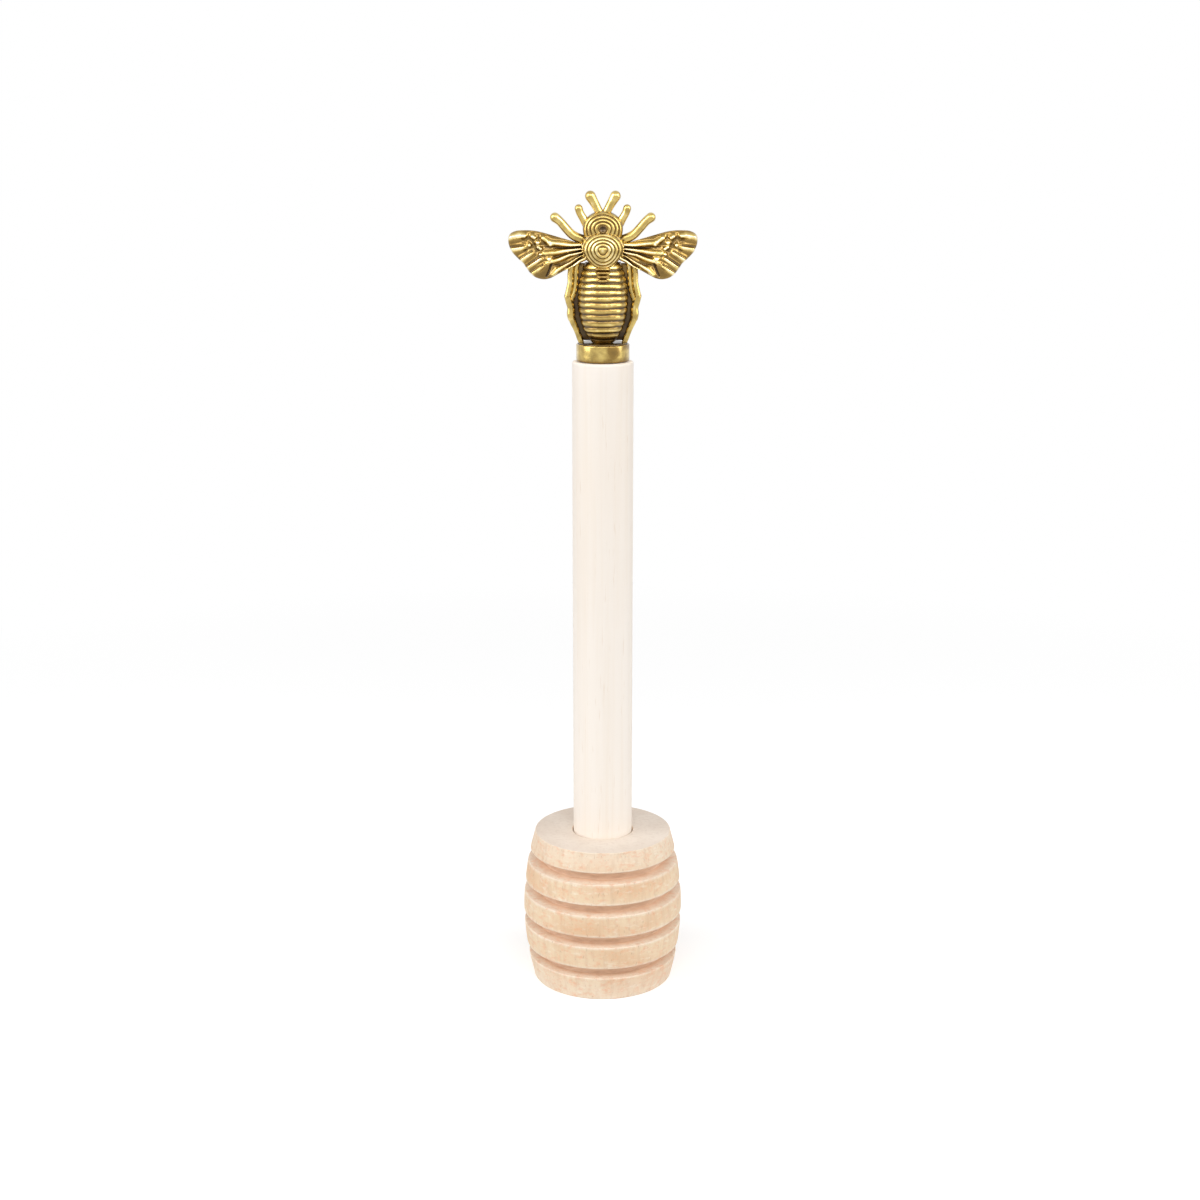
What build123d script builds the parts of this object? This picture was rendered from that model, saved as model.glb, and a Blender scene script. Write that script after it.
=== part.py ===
from build123d import *
from math import radians, tan
import os

# A wooden honey dipper with a cast bee on top of its handle.
# Lengths are millimetres. The origin is the middle of the head's standing face,
# +Z runs up the handle, and the bee looks along -Y.

# Turned head: a barrel whose grooves leave a stack of rings
head_height = 31.7
head_foot_diameter = 28.6
head_waist_diameter = 32.8
head_top_diameter = 27.8
groove_count = 4
groove_width = 2.25
groove_depth = 2.7
top_ring_share = 0.79  # height of the top ring, as a share of the bottom ring
end_edge_break = 0.35
socket_depth = 20.0
socket_clearance = 0.2

# Handle dowel
dowel_diameter = 12.0
dowel_top = 128.5
dowel_edge_break = 0.4

# Threaded stud, glued into the dowel and screwed into the bee
stud_diameter = 3.0
stud_length = 20.0
stud_in_bee = 6.6
stud_point = 0.4
stud_clearance = 0.05
stud_end_gap = 0.3

# Collar between the dowel and the bee
collar_diameter = 10.45
collar_height = 3.4
collar_edge_break = 0.4
recess_diameter = 9.5
recess_depth = 0.4
collar_bore = 6.4
collar_clearance = 0.1

# Foot of the bee: a pad in the collar's recess, a spigot in its bore and a boss above
pad_height = 0.6
spigot_end_gap = 0.3
boss_wall = 0.55

# Bee as a whole: height above the collar, reach of one wing from the middle
bee_height = 29.4
wing_reach = 18.2
back_depth = 1.05
overlap = 0.2

# Body: widths as shares of the wing's reach, heights as shares of the bee's height
abdomen_width = 0.549 * wing_reach
abdomen_set_back = 0.4
abdomen_tilt = 5.0
abdomen_middle = 0.2925 * bee_height
abdomen_lower_reach = 0.2995 * bee_height
abdomen_upper_reach = 0.3435 * bee_height
abdomen_top = 0.5305 * bee_height
rib_count = 12
rib_relief = 0.32

# Thorax: an egg-shaped dome of concentric rings, pointed downwards
thorax_width = 0.462 * wing_reach
thorax_depth = 4.6
thorax_ring_count = 4
thorax_ring_relief = 0.3
thorax_point_width = 0.13 * wing_reach

# Tongue of the thorax that lies on the abdomen: short cross bars, narrowing downwards
tongue_width = 0.19 * wing_reach
tongue_end_width = 0.13 * wing_reach
tongue_bar_count = 3
tongue_bar_sides = 6
tongue_bar_pitch = 0.85
tongue_bar_thickness = 0.95

# Head of the bee: a lower dome behind the thorax, ringed alike
bee_head_width = 0.409 * wing_reach
bee_head_depth = 3.1
bee_head_ring_count = 4
bee_head_ring_relief = 0.28

# Wings: a plate with raised veins
wing_thickness = 1.1
wing_edge_steps = 26
vein_rise = 0.45
vein_root_width = 0.8
vein_tip_width = 0.5

# Limbs, six sided
limb_sides = 6
antenna_thickness = 1.35
feeler_thickness = 1.25
foreleg_thickness = 1.5
hind_leg_strand = 1.05
hind_leg_shin = 1.45
hind_leg_foot = 0.95
web_thickness = 0.9
web_set_back = 0.6

# Stations of a limb: share of its length, and its thickness there as a share of the full one
plain_limb_shares = ((0, 1.0), (0.5, 0.95), (1, 0.8))
foreleg_limb_shares = ((0, 1.0), (0.33, 0.95), (0.66, 0.9), (0.94, 1.05), (1, 0.5))
club_limb_shares = ((0, 0.95), (0.55, 0.95), (0.88, 1.3), (1, 0.6))

# Places on the bee: the first number is a share of the wing's reach, the second of the bee's height
thorax_share = 0.616
bee_head_share = 0.748
fore_wing_shares = (
    (0.16, 0.650), (0.33, 0.665), (0.50, 0.689), (0.66, 0.727), (0.82, 0.737),
    (0.967, 0.721), (1.00, 0.670), (0.967, 0.602), (0.90, 0.556), (0.82, 0.513),
)
hind_wing_shares = (
    (0.82, 0.513), (0.725, 0.439), (0.615, 0.419), (0.505, 0.442), (0.363, 0.487), (0.16, 0.551),
)
vein_shares = (
    ((0.22, 0.645), (0.56, 0.657), (0.73, 0.692), (0.95, 0.698)),
    ((0.22, 0.620), (0.51, 0.594), (0.66, 0.585), (0.82, 0.632), (0.965, 0.619)),
    ((0.22, 0.598), (0.35, 0.580), (0.54, 0.535), (0.75, 0.592), (0.862, 0.548)),
    ((0.22, 0.580), (0.34, 0.534), (0.48, 0.480), (0.66, 0.555), (0.782, 0.502)),
    ((0.22, 0.562), (0.30, 0.520), (0.37, 0.505)),
    ((0.645, 0.504), (0.735, 0.468)),
)
antenna_shares = ((0.030, 0.830), (0.066, 0.890), (0.130, 0.986))
feeler_shares = ((0.170, 0.770), (0.220, 0.825), (0.256, 0.895))
foreleg_shares = ((0.190, 0.675), (0.363, 0.722), (0.505, 0.828))
outer_strand_shares = ((0.330, 0.540), (0.341, 0.402), (0.371, 0.298))
inner_strand_shares = ((0.272, 0.540), (0.288, 0.388), (0.332, 0.285))
shin_shares = ((0.371, 0.312), (0.335, 0.231), (0.338, 0.163))
foot_shares = ((0.334, 0.178), (0.288, 0.102), (0.231, 0.008))
web_shares = (
    (0.335, 0.530), (0.345, 0.470), (0.350, 0.370), (0.375, 0.302), (0.345, 0.205), (0.315, 0.127),
    (0.245, 0.036),
)


def barrel_radius(height):
    """Radius of the head's barrel curve at a height above its standing face."""
    share = height / head_height
    chord = head_foot_diameter * (1 - share) + head_top_diameter * share
    bulge = head_waist_diameter - (head_foot_diameter + head_top_diameter) / 2
    return (chord + bulge * 4 * share * (1 - share)) / 2


def ring_spans():
    """Bottom and top height of each ring; the rings grow lower towards the top."""
    ring_count = groove_count + 1
    weights = [1 + (top_ring_share - 1) * i / groove_count for i in range(ring_count)]
    wood = head_height - groove_count * groove_width
    spans = []
    bottom = 0
    for weight in weights:
        top = bottom + wood * weight / sum(weights)
        spans.append((bottom, top))
        bottom = top + groove_width
    return spans


def turned(points, arc=360):
    """Solid turned about Z, from +X through +Y, from a closed outline of (radius, height) points."""
    outline = make_face(Plane.XZ * Polyline(*points, close=True))
    return revolve(outline, Axis.Z, arc)


def dipper_head():
    spans = ring_spans()
    points = [(0, 0), (barrel_radius(0) - end_edge_break, 0)]
    for i, (bottom, top) in enumerate(spans):
        if i > 0:
            previous_top = spans[i - 1][1]
            floor = barrel_radius((previous_top + bottom) / 2) - groove_depth
            points += [(floor, previous_top), (floor, bottom)]
        low = bottom if i > 0 else end_edge_break
        high = top if i < groove_count else head_height - end_edge_break
        points += [(barrel_radius(low), low), (barrel_radius(high), high)]
    socket_radius = dowel_diameter / 2 + socket_clearance
    socket_floor = head_height - socket_depth
    points += [
        (barrel_radius(head_height) - end_edge_break, head_height),
        (socket_radius, head_height),
        (socket_radius, socket_floor),
        (0, socket_floor),
    ]
    return turned(points)


def handle_dowel():
    radius = dowel_diameter / 2
    foot = head_height - socket_depth
    hole_radius = stud_diameter / 2 + stud_clearance
    hole_floor = stud_bottom() - stud_end_gap
    return turned([
        (0, foot),
        (radius - dowel_edge_break, foot),
        (radius, foot + dowel_edge_break),
        (radius, dowel_top - dowel_edge_break),
        (radius - dowel_edge_break, dowel_top),
        (hole_radius, dowel_top),
        (hole_radius, hole_floor),
        (0, hole_floor),
    ])


def stud_bottom():
    return stud_top() - stud_length


def stud_top():
    return bee_seat() + stud_in_bee


def threaded_stud():
    radius = stud_diameter / 2
    return turned([
        (0, stud_bottom()),
        (radius - stud_point, stud_bottom()),
        (radius, stud_bottom() + stud_point),
        (radius, stud_top() - stud_point),
        (radius - stud_point, stud_top()),
        (0, stud_top()),
    ])


def bee_seat():
    """Height of the recess floor that the bee's pad stands on."""
    return dowel_top + collar_height - recess_depth


def bee_collar():
    radius = collar_diameter / 2
    top = dowel_top + collar_height
    return turned([
        (collar_bore / 2, dowel_top),
        (radius - collar_edge_break, dowel_top),
        (radius, dowel_top + collar_edge_break),
        (radius, top - collar_edge_break),
        (radius - collar_edge_break, top),
        (recess_diameter / 2, top),
        (recess_diameter / 2, top - recess_depth),
        (collar_bore / 2, top - recess_depth),
    ])


def place(shares):
    """Point of the bee, as (across, up) from the middle of the collar's top."""
    return (shares[0] * wing_reach, shares[1] * bee_height)


def beads(start, end, count, surface, relief):
    """Outline of ridges along a curve: crowns on it, with valleys of the relief's depth between."""
    points = [surface(start, relief)]
    for i in range(count):
        for share, depth in ((1 / 2, 0), (1, relief)):
            points.append(surface(start + (end - start) * (i + share) / count, depth))
    return points


def abdomen_radius(height):
    rise = height - abdomen_middle
    reach = abdomen_upper_reach if rise > 0 else abdomen_lower_reach
    return abdomen_width / 2 * (1 - (rise / reach) ** 2) ** 0.5


def abdomen_front(height):
    """Place along Y of the leaning abdomen's front, at a height."""
    lean = tan(radians(abdomen_tilt)) * (height - abdomen_middle)
    return abdomen_set_back + lean - abdomen_radius(height)


def abdomen_rib(height, depth):
    return (abdomen_radius(height) - depth, height)


def abdomen():
    """Front half of a ribbed egg, leaning forward at its foot."""
    ribs = beads(pad_height - recess_depth, abdomen_top, rib_count, abdomen_rib, rib_relief)
    half_egg = Rot(0, 0, 180) * turned([(0, ribs[0][1])] + ribs + [(0, ribs[-1][1])], arc=180)
    middle = Pos(0, abdomen_set_back, abdomen_middle)
    return middle * Rot(-abdomen_tilt, 0, 0) * Pos(0, 0, -abdomen_middle) * half_egg


def ringed_dome(diameter, depth, ring_count, relief):
    """Dome that swells along -Y from a flat back, with concentric rings."""
    radius = diameter / 2

    def ring(reach, cut):
        return (reach, cut - depth * (1 - (reach / radius) ** 2) ** 0.5)

    rings = beads(radius, 0, ring_count, ring, relief)[:-1]
    button = (0, rings[-1][1])
    outline = make_face(Polyline((0, back_depth), (radius, back_depth), *rings, button, close=True))
    return revolve(outline, Axis.Y)


def thorax():
    """Ringed dome whose lower half narrows to a blunt point."""
    dome = ringed_dome(thorax_width, thorax_depth, thorax_ring_count, thorax_ring_relief)
    radius = thorax_width / 2
    egg = Polyline(
        (-radius, radius), (-radius, 0), (-thorax_point_width / 2, -radius),
        (thorax_point_width / 2, -radius), (radius, 0), (radius, radius), close=True)
    mask = extrude(make_face(Plane.XZ * egg), thorax_width, both=True)
    return Pos(0, 0, thorax_share * bee_height) * (dome & mask)


def bee_head():
    dome = ringed_dome(bee_head_width, bee_head_depth, bee_head_ring_count, bee_head_ring_relief)
    return Pos(0, 0, bee_head_share * bee_height) * dome


def tongue():
    """Cross bars that step down from the thorax over the top of the abdomen."""
    top = thorax_share * bee_height - thorax_width / 2
    bars = Part()
    for i in range(tongue_bar_count):
        share = i / (tongue_bar_count - 1)
        length = tongue_width * (1 - share) + tongue_end_width * share
        bar = extrude(RegularPolygon(tongue_bar_thickness / 2, tongue_bar_sides), length / 2, both=True)
        height = top - i * tongue_bar_pitch
        bars += Pos(0, abdomen_front(height), height) * Rot(0, 90, 0) * bar
    return bars


def plate(face, thickness):
    """Flat wall of a thickness, centred on the XZ plane."""
    return Pos(0, thickness / 2, 0) * extrude(face, thickness, dir=(0, -1, 0))


def wing_plate():
    """Outline of the fore wing and the hind lobe as one plate."""
    outline = sampled(fore_wing_shares, wing_edge_steps)[:-1] + sampled(hind_wing_shares, wing_edge_steps // 2)
    return plate(make_face(Plane.XZ * Polyline(*outline, close=True)), wing_thickness)


def sampled(shares, steps):
    """Points at equal steps along a smooth curve through places on the bee."""
    curve = Spline(*[place(p) for p in shares])
    stops = [curve @ (i / steps) for i in range(steps + 1)]
    return [(stop.X, stop.Y) for stop in stops]


def vein(start, end, start_width, end_width):
    """Tapering ridge of triangular section on the front of the wing."""
    face_y = -wing_thickness / 2
    along = Vector(end[0] - start[0], 0, end[1] - start[1]).normalized()
    side = along.cross(Vector(0, 1, 0))
    sections = []
    for point, width in ((start, start_width), (end, end_width)):
        foot = Vector(point[0], face_y + overlap, point[1])
        crown = Vector(point[0], face_y - vein_rise, point[1])
        outline = Polyline(foot + side * width / 2, foot - side * width / 2, crown, close=True)
        sections.append(make_face(outline))
    return loft(sections, ruled=True)


def wing():
    shape = wing_plate()
    for shares in vein_shares:
        stops = [place(p) for p in shares]
        step = (vein_root_width - vein_tip_width) / (len(stops) - 1)
        for i in range(len(stops) - 1):
            width = vein_root_width - step * i
            shape += vein(stops[i], stops[i + 1], width, width - step)
    return shape


def limb(shares, thickness, girth_shares=plain_limb_shares):
    """Faceted limb along an arc through three places, thick or thin by its stations."""
    path = Plane.XZ * ThreePointArc(*[place(p) for p in shares])
    sections = []
    for along, girth in girth_shares:
        across = Plane(path @ along, x_dir=(0, 1, 0), z_dir=path % along)
        sections.append(across * RegularPolygon(thickness * girth / 2, limb_sides))
    return loft(sections, ruled=True)


def hind_leg():
    leg = limb(outer_strand_shares, hind_leg_strand)
    leg += limb(inner_strand_shares, hind_leg_strand)
    leg += limb(shin_shares, hind_leg_shin)
    leg += limb(foot_shares, hind_leg_foot)
    return Pos(0, web_set_back - web_thickness / 2, 0) * leg


def web():
    """Thin wall behind the hind legs that joins them to the abdomen."""
    corners = [place(p) for p in web_shares]
    edge = [(0, corners[0][1])] + corners + [(0, corners[-1][1])]
    return Pos(0, web_set_back, 0) * plate(make_face(Plane.XZ * Polyline(*edge, close=True)), web_thickness)


def one_side():
    side = wing()
    side += limb(antenna_shares, antenna_thickness, club_limb_shares)
    side += limb(feeler_shares, feeler_thickness, foreleg_limb_shares)
    side += limb(foreleg_shares, foreleg_thickness, foreleg_limb_shares)
    side += hind_leg()
    side += web()
    return side


def foot():
    """Pad, spigot and boss, drilled for the stud."""
    low = (Align.CENTER, Align.CENTER, Align.MIN)
    floor = -recess_depth
    spigot_length = collar_height - recess_depth - spigot_end_gap
    pad = Cylinder(recess_diameter / 2 - collar_clearance, pad_height, align=low)
    shape = Pos(0, 0, floor) * pad
    spigot = Cylinder(collar_bore / 2 - collar_clearance, spigot_length + overlap, align=low)
    shape += Pos(0, 0, floor - spigot_length) * spigot
    boss_radius = stud_diameter / 2 + stud_clearance + boss_wall
    boss = Cylinder(boss_radius, stud_in_bee + stud_end_gap + boss_wall, align=low)
    return shape + Pos(0, 0, floor) * boss


def bee_casting():
    right = one_side()
    bee = abdomen() + thorax() + bee_head() + tongue() + foot()
    bee += right
    bee += mirror(right, about=Plane.YZ)
    floor = -collar_height
    hole = Cylinder(stud_diameter / 2 + stud_clearance,
                    collar_height - recess_depth + stud_in_bee + stud_end_gap,
                    align=(Align.CENTER, Align.CENTER, Align.MIN))
    bee -= Pos(0, 0, floor) * hole
    return Pos(0, 0, dowel_top + collar_height) * bee


pieces = {
    "dipper_head": dipper_head,
    "handle_dowel": handle_dowel,
    "threaded_stud": threaded_stud,
    "bee_collar": bee_collar,
    "bee_casting": bee_casting,
}

os.makedirs("parts", exist_ok=True)
for name, make in pieces.items():
    export_step(make(), "parts/" + name + ".step")
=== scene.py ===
import math

import bmesh
import bpy
from bpy.props import FloatProperty, FloatVectorProperty, IntProperty, PointerProperty
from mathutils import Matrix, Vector, noise


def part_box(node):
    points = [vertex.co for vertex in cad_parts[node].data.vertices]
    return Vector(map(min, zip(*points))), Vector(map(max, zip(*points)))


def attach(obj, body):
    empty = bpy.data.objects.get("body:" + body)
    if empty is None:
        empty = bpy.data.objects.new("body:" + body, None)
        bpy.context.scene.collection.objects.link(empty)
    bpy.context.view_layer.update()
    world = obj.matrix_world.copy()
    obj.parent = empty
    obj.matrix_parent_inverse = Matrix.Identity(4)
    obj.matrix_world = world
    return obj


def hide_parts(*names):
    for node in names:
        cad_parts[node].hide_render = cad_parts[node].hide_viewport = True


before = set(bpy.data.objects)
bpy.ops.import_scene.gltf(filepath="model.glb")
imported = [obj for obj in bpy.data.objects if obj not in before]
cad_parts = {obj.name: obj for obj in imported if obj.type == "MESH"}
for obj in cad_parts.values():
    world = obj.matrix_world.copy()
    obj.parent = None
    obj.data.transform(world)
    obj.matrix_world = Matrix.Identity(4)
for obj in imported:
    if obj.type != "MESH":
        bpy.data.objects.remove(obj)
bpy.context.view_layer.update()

bl_info = {
    "name": "Honey dipper",
    "version": (1, 0, 0),
    "blender": (4, 5, 0),
    "location": "3D View > Sidebar > Dipper",
    "description": "Dresses a wooden honey dipper that has a cast bee on its handle",
    "category": "Object",
}

MM = 0.001
UP = Vector((0, 0, 1))
BACK = Vector((0, 1, 0))

# Places from the frame, in metres
head_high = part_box("dipper_head")[1]
handle_low, handle_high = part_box("handle_dowel")
collar_low, collar_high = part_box("bee_collar")
bee_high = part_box("bee_casting")[1]

# Turned head and collar, in metres
barrel_foot, barrel_top = 14.3 * MM, 13.9 * MM
socket_gap = 0.2 * MM
collar_bore, collar_recess, recess_depth = 3.2 * MM, 4.75 * MM, 0.4 * MM

# Sizes of the bee from here on are millimetres, measured from the middle of the collar's top
wing_reach = bee_high.x / MM

# Egg of the abdomen: height of its middle, reach below and above it, radius, and how it leans
egg_middle, egg_lower, egg_upper, egg_radius = 8.6, 9.15, 10.1, 4.99
egg_set_back, egg_lean = 0.4, math.tan(math.radians(5))

# Domes: radii of the rings, depth, rim in front and behind, middle's height, narrowing below, pit
thorax_dome = ((0.87, 1.6, 2.3, 3.0, 3.76, 4.20), 4.6, 1.6, 1.05, 18.1, 0.42, 0.0)
head_dome = ((0.85, 1.6, 2.35, 3.1, 3.85), 3.1, 1.0, 0.96, 22.0, 0.0, 0.45)

# Tongue: bars from the top one down, (height, width)
tongue_bars = tuple((14.5 - 0.72 * i, 3.3 - 0.35 * i) for i in range(4))

# Outline of one wing, (across, up), from the root's top round the tip to the root's foot
wing_outline = (
    (3.3, 19.1), (6.0, 19.55), (7.5, 19.75), (9.0, 20.25), (10.5, 20.85), (12.0, 21.35), (13.5, 21.6),
    (15.0, 21.65), (16.5, 21.55), (17.6, 21.1), (18.1, 20.4), (18.15, 19.5), (17.95, 18.6),
    (17.5, 17.6), (16.8, 16.8), (16.0, 16.0), (15.25, 15.35), (15.0, 14.95), (14.5, 14.2),
    (13.9, 13.45), (13.1, 12.8), (12.2, 12.45), (11.2, 12.35), (10.2, 12.55), (9.2, 13.05),
    (8.2, 13.65), (7.2, 14.1), (6.4, 14.5), (4.8, 15.4), (3.3, 16.1),
)

# Rounded ribs that fan out from the wing's root
wing_ribs = (
    ((3.3, 18.95), (6.1, 18.9), (8.3, 19.15), (10.1, 19.3), (11.5, 20.2)),
    ((3.3, 18.2), (5.1, 18.1), (7.2, 17.8), (9.3, 17.45), (11.2, 17.3)),
    ((3.3, 17.6), (4.7, 17.4), (6.4, 17.05), (8.3, 16.2), (9.9, 15.75), (11.2, 15.2)),
    ((3.3, 17.1), (4.8, 16.6), (6.2, 15.7), (7.4, 14.95), (8.7, 14.1), (9.5, 13.2)),
    ((3.3, 16.4), (4.4, 15.9), (5.6, 14.95), (6.8, 14.3)),
)

# Dark lines between those ribs
wing_lines = (
    ((4.0, 18.55), (6.7, 18.35), (8.8, 18.45), (11.0, 18.5)),
    ((4.0, 17.9), (5.6, 17.55), (7.2, 17.2), (9.5, 16.5)),
    ((4.0, 17.25), (5.0, 16.7), (6.4, 15.85), (7.9, 15.2), (9.3, 15.0)),
    ((4.0, 16.7), (4.7, 16.25), (5.8, 15.35), (7.0, 14.65)),
)

# Flutes along the outer margin: a ridge each, and the line above it
flute_ridges = (
    ((18.1, 20.25), (15.85, 20.65)), ((18.0, 17.95), (15.0, 18.5)), ((16.1, 15.85), (13.7, 17.4)),
    ((14.6, 14.5), (12.0, 16.3)), ((13.9, 13.4), (11.8, 14.8)),
)
flute_lines = (
    ((18.1, 18.45), (15.1, 18.85)), ((16.5, 15.95), (13.6, 17.75)), ((15.0, 14.7), (12.0, 16.75)),
    ((14.3, 13.55), (11.5, 15.2)), ((10.8, 12.9), (9.8, 15.2)),
)

# Bumps (across, up, radius), bright with a painted highlight, and dark pits of the cells between
wing_bumps = (
    (15.4, 20.6, 0.34), (15.0, 20.6, 0.34), (13.5, 20.5, 0.32), (13.1, 20.25, 0.32), (11.5, 20.2, 0.34),
    (10.35, 19.4, 0.36), (10.0, 19.0, 0.36), (12.5, 19.3, 0.40), (14.05, 18.85, 0.34),
    (12.4, 18.5, 0.30), (11.9, 18.15, 0.30), (11.95, 17.1, 0.34), (10.25, 16.2, 0.46),
    (6.4, 17.1, 0.28),
)
wing_pits = (
    (15.2, 19.6, 0.42), (14.9, 18.6, 0.40), (13.3, 19.1, 0.50), (12.5, 17.6, 0.42), (11.6, 16.6, 0.40),
    (14.7, 17.9, 0.34), (11.05, 15.4, 0.40), (14.2, 20.1, 0.34), (12.2, 20.1, 0.30), (11.3, 19.0, 0.40),
)

# Limbs: centre lines (across, front, up) and the radii at their points
limbs = {
    "antenna": (
        ((0.40, 0.5, 24.0), (0.75, 0.5, 25.1), (1.25, 0.4, 26.1), (1.80, 0.3, 27.05), (2.38, 0.25, 28.04)),
        (0.90, 0.84, 0.84, 0.92, 1.05),
    ),
    "feeler": (
        ((2.9, 0.2, 22.3), (3.4, 0.25, 23.3), (3.95, 0.25, 24.2), (4.4, 0.2, 25.0), (4.62, 0.2, 25.75)),
        (0.88, 0.86, 0.78, 0.76, 0.78),
    ),
    "foreleg": (
        ((3.2, 0.0, 19.7), (4.6, 0.3, 20.15), (5.9, 0.4, 20.85), (7.1, 0.35, 22.05), (8.2, 0.3, 23.3),
         (9.15, 0.25, 24.05)),
        (0.92, 0.92, 0.88, 0.86, 0.86, 0.95),
    ),
    "outer_thigh": (
        ((6.0, -0.1, 15.4), (6.2, -0.05, 13.4), (6.2, 0.0, 11.8), (6.45, 0.0, 10.4), (6.75, 0.0, 9.0)),
        (0.56, 0.62, 0.62, 0.66, 0.72),
    ),
    "inner_thigh": (
        ((4.95, -0.2, 15.4), (5.15, -0.15, 13.2), (5.25, -0.1, 11.4), (5.55, -0.1, 9.8), (6.05, -0.1, 8.4)),
        (0.48, 0.48, 0.46, 0.48, 0.56),
    ),
    "shin": (
        ((6.75, 0.0, 9.1), (6.45, 0.0, 8.0), (6.15, 0.0, 6.9), (6.15, 0.0, 5.7), (6.10, 0.0, 4.9)),
        (0.72, 0.74, 0.74, 0.82, 0.72),
    ),
    "shank": (
        ((6.05, -0.05, 5.0), (5.7, -0.05, 4.0), (5.25, -0.05, 3.0), (4.85, -0.05, 2.0), (4.45, -0.05, 1.0),
         (4.2, -0.05, 0.3)),
        (0.72, 0.64, 0.58, 0.56, 0.60, 0.55),
    ),
}

# Wall behind the hind legs: half its outline, from the wing's root down to the foot, and its depths
leg_wall = (
    (0.0, 15.4), (6.0, 15.4), (6.3, 13.5), (6.25, 11.6), (6.6, 10.2), (6.9, 9.0), (6.4, 8.1), (6.25, 6.8),
    (6.3, 5.3), (5.7, 3.7), (5.0, 2.1), (4.6, 1.2), (4.2, 0.9), (4.0, 1.2), (3.7, 0.6), (0.0, 0.6),
)
leg_wall_front, leg_wall_back = 0.15, 0.99

# Pad, spigot and boss of the bee's foot: (radius, height) of the corners
foot_profile = (
    (0, -3.1), (3.1, -3.1), (3.1, -0.4), (4.65, -0.4), (4.65, 0.2), (2.0, 0.2), (2.0, 7.0), (0, 7.0),
)

# Finer colours of the wood, the plating and the steel
# The first wood colour paints paler wood and a highlight along the rings' edges
pale_edge_highlight, blushed, bleached = (0.88, 0.77, 0.65), (0.80, 0.43, 0.24), (0.93, 0.85, 0.74)
head_grain, head_fleck, groove_streak = (0.62, 0.40, 0.25), (0.45, 0.27, 0.16), (0.62, 0.38, 0.24)
end_pore, end_cloud = (0.50, 0.38, 0.29), (0.60, 0.47, 0.37)
handle_grain, handle_cloud = (0.86, 0.74, 0.60), (0.93, 0.80, 0.66)
handle_fleck = (0.74, 0.58, 0.42)
tarnished = (0.17, 0.115, 0.030)
dull_steel, clear_steel = (0.50, 0.50, 0.52), (0.66, 0.67, 0.68)

# Lamps: name, place, width, height and watts, in metres. Only the plating's highlights see the cards
lamp_target = (0, 0, 0.10)
lamps = (
    ("left softbox", (-0.39, -0.12, 0.24), 0.20, 0.30, 0.62),
    ("right softbox", (0.40, -0.09, 0.24), 0.16, 0.30, 0.50),
    ("front key", (0.02, -0.43, 0.42), 0.42, 0.18, 0.94),
    ("left key", (-0.34, -0.28, 0.44), 0.16, 0.12, 0.38),
    ("right key", (0.32, -0.30, 0.42), 0.16, 0.12, 0.33),
)
cards = (
    ("left card", (-0.30, -0.24, 0.34), 0.22, 0.22, 0.62),
    ("right card", (0.31, -0.24, 0.34), 0.22, 0.22, 0.55),
)

# Grey that the floor has under the object, its own light there, and the light from all round
floor_grey, floor_glow, sky_light = 0.82, 0.31, 0.54


def millimetres(name, text, value):
    """A length property whose default is given in millimetres."""
    return FloatProperty(name=name, description=text, default=value * MM, min=0, unit="LENGTH")


def colour(name, text, value):
    """A colour property."""
    return FloatVectorProperty(name=name, description=text, default=value, size=3, subtype="COLOR",
                               min=0, max=1)


class WoodSettings(bpy.types.PropertyGroup):
    groove_count: IntProperty(name="Grooves", description="Grooves turned in the head", default=4, min=1)
    groove_width: millimetres("Groove width", "Clear width of a groove", 2.25)
    groove_depth: millimetres("Groove depth", "Depth of a groove below the barrel's curve", 2.7)
    edge_radius: millimetres("Sanded edge", "Radius that sanding leaves on a ring's edges", 0.24)
    head_colour: colour("Head", "Pale face of the turned head", (0.82, 0.64, 0.438))
    tan_colour: colour("Tan", "Warmer patches of the head", (0.745, 0.487, 0.290))
    end_colour: colour("End grain", "End grain on the head's flat ends", (0.79, 0.69, 0.595))
    # Lighter than the faces: the grooves' own pinker tone, lifted with painted light against their shade
    groove_colour: colour("Groove", "Floor of the grooves", (0.90, 0.66, 0.49))
    handle_colour: colour("Handle", "Pale dowel of the handle", (0.96, 0.885, 0.805))


class MetalSettings(bpy.types.PropertyGroup):
    rib_pitch: millimetres("Rib pitch", "Distance from rib to rib", 1.2)
    rib_relief: millimetres("Rib relief", "Depth of the valleys between ribs", 0.26)
    gold_colour: colour("Gold", "Body of the antique gold plating", (0.27, 0.162, 0.032))
    bright_colour: colour("Rubbed gold", "Gold on the crowns, where it is rubbed bright",
                          (0.80, 0.60, 0.185))
    # A painted highlight: pale gold where the carving stands highest, mostly on the wings
    crest_highlight_colour: colour("Burnished gold", "Palest gold, on the wings' highest crests", (1.0, 0.90, 0.62))
    patina_colour: colour("Patina", "Dark patina in the recesses", (0.050, 0.027, 0.008))


class StageSettings(bpy.types.PropertyGroup):
    camera_distance: millimetres("Distance", "From the handle's axis to the camera, level", 376.0)
    camera_height: millimetres("Height", "Of the camera above the floor", 177.0)
    camera_side: millimetres("Side", "How far the camera stands left of the axis", 0.55)
    focal_length: FloatProperty(name="Focal length", description="In millimetres of a 36 mm wide sensor",
                                default=58.0, min=1)
    camera_pitch: FloatProperty(name="Pitch", description="How far the camera looks down",
                                default=math.radians(14.4), subtype="ANGLE")
    floor_width: millimetres("Floor", "Width of the floor", 3000.0)
    shadow_start: millimetres("Shadow start", "Radius within which the floor is greyest", 50.0)
    shadow_end: millimetres("Shadow end", "Radius from which the floor is plain white", 340.0)


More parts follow.
